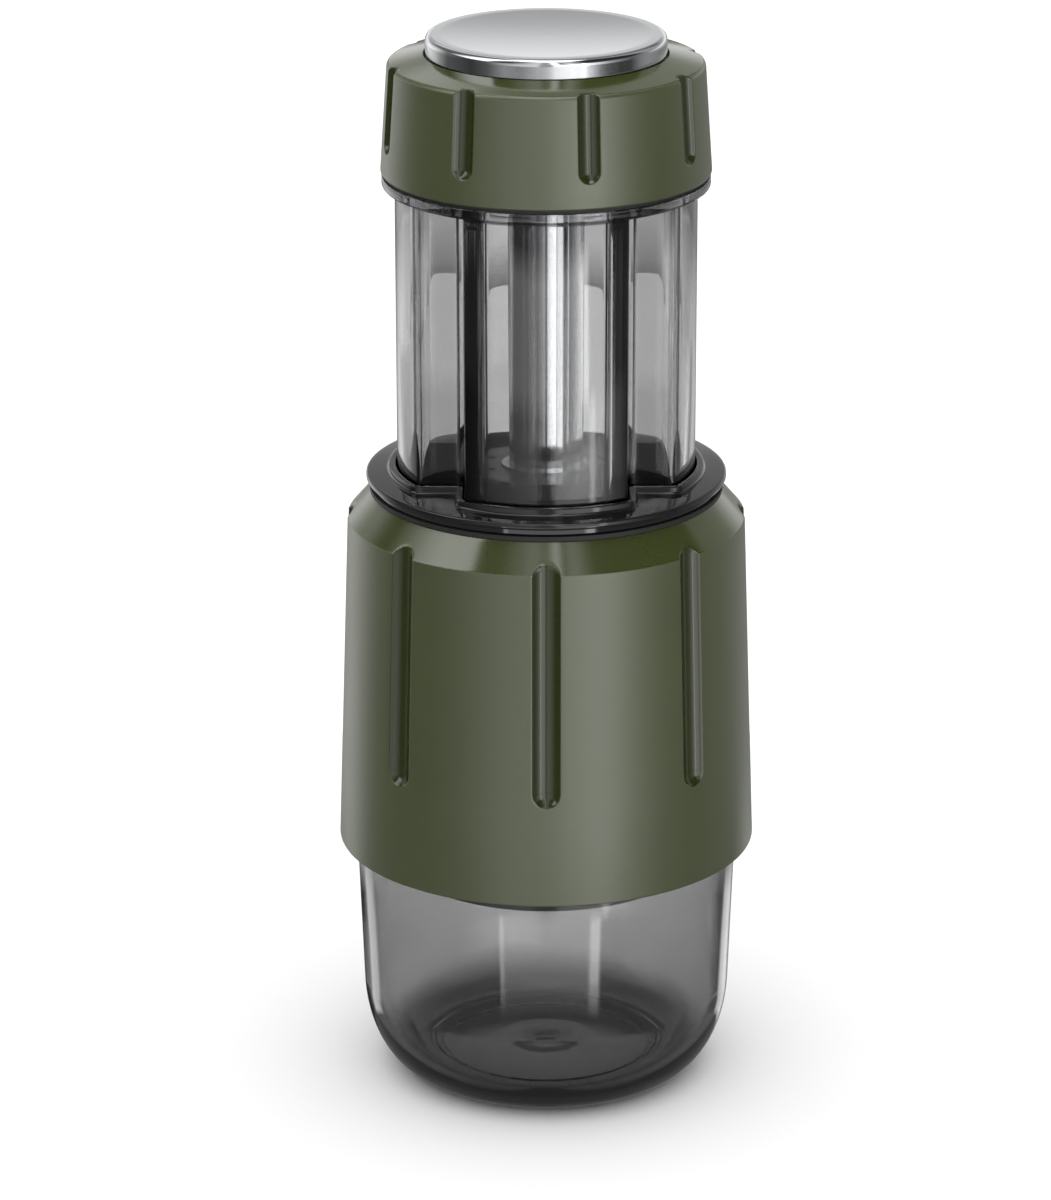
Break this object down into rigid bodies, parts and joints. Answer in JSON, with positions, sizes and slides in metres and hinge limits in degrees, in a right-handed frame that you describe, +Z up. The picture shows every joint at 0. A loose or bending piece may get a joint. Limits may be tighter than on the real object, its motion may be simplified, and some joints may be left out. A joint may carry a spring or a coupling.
{
  "type": "handheld manual espresso maker",
  "caption": "Handheld espresso maker with a palm plunger in a clear lobed tube, a fluted green sleeve round its water tank, and a smoke-clear cup as its foot.",
  "frame": {"origin": "centre of the cup's foot, on the surface it stands on", "axes": "+Z up along the plunger, -Y towards the sleeve groove that faces the picture's viewer"},
  "size_m": [0.076, 0.076, 0.195],
  "materials": {
    "olive_moulding": "satin olive green moulding, fine moulded texture",
    "smoke_clear": "clear smoke-grey moulding, polished",
    "dark_smoke": "glossy dark smoke moulding",
    "polished_steel": "polished steel",
    "spring_steel": "drawn steel",
    "dark_plastic": "dark grey moulding",
    "black_rubber": "black silicone rubber"
  },
  "bodies": {
    "cup_body": {"cup": "smoke_clear"},
    "brewer": {"sleeve": "olive_moulding", "lock_ring": "dark_plastic", "tank": "dark_plastic", "cup_seal": "black_rubber", "brew_gasket": "black_rubber", "shower_screen": "polished_steel", "shower_screw": "polished_steel", "outlet_spring": "spring_steel", "outlet_cage": "dark_plastic", "spindle": "spring_steel", "return_spring": "spring_steel"},
    "pump": {"collar": "dark_smoke", "collar_gasket": "black_rubber", "collar_seal": "black_rubber", "wiper_seal": "black_rubber", "pump_cylinder": "dark_plastic", "cylinder_seal": "black_rubber", "cylinder_lid": "dark_smoke", "rod_gland": "polished_steel"},
    "plunger": {"plunger_tube": "smoke_clear", "stop_ring": "dark_smoke", "cap_seal": "black_rubber", "cap": "olive_moulding", "palm_disc": "polished_steel", "piston_rod": "polished_steel", "rod_nut": "spring_steel", "rod_plug": "spring_steel", "piston_head": "dark_plastic", "piston_ring": "black_rubber", "valve_clip": "spring_steel"},
    "valve_plate": {"piston_valve": "black_rubber"},
    "outlet_valve": {"outlet_ball": "polished_steel"},
    "basket": {"filter_basket": "polished_steel"},
    "head": {"brew_head": "dark_plastic", "spout": "polished_steel"}
  },
  "joints": [
    {"name": "brewer_lift", "type": "slide", "parent": "cup_body", "child": "brewer", "axis": [0, 0, 1], "range_m": [0, 0.09]},
    {"name": "pump_lift", "type": "slide", "parent": "brewer", "child": "pump", "axis": [0, 0, 1], "range_m": [0, 0.07]},
    {"name": "pump_press", "type": "slide", "parent": "pump", "child": "plunger", "axis": [0, 0, -1], "range_m": [0, 0.042], "stiffness_N_per_m": 160, "springref_m": -0.04, "deforming": ["return_spring"]},
    {"name": "valve_rise", "type": "slide", "parent": "plunger", "child": "valve_plate", "axis": [0, 0, 1], "range_m": [0, 0.0008]},
    {"name": "outlet_open", "type": "slide", "parent": "brewer", "child": "outlet_valve", "axis": [0, 0, -1], "range_m": [0, 0.0008], "stiffness_N_per_m": 40, "springref_m": -0.0025, "deforming": ["outlet_spring"]},
    {"name": "basket_drop", "type": "slide", "parent": "brewer", "child": "basket", "axis": [0, 0, -1], "range_m": [0, 0.0045]},
    {"name": "head_unscrew", "type": "hinge", "parent": "basket", "child": "head", "pos_m": [0, 0, 0.046], "axis": [0, 0, -1], "range_deg": [0, 542]}
  ],
  "couplings": [
    {"joint": "head_unscrew", "follows": "basket_drop", "rad_per_m": 2094.4}
  ]
}
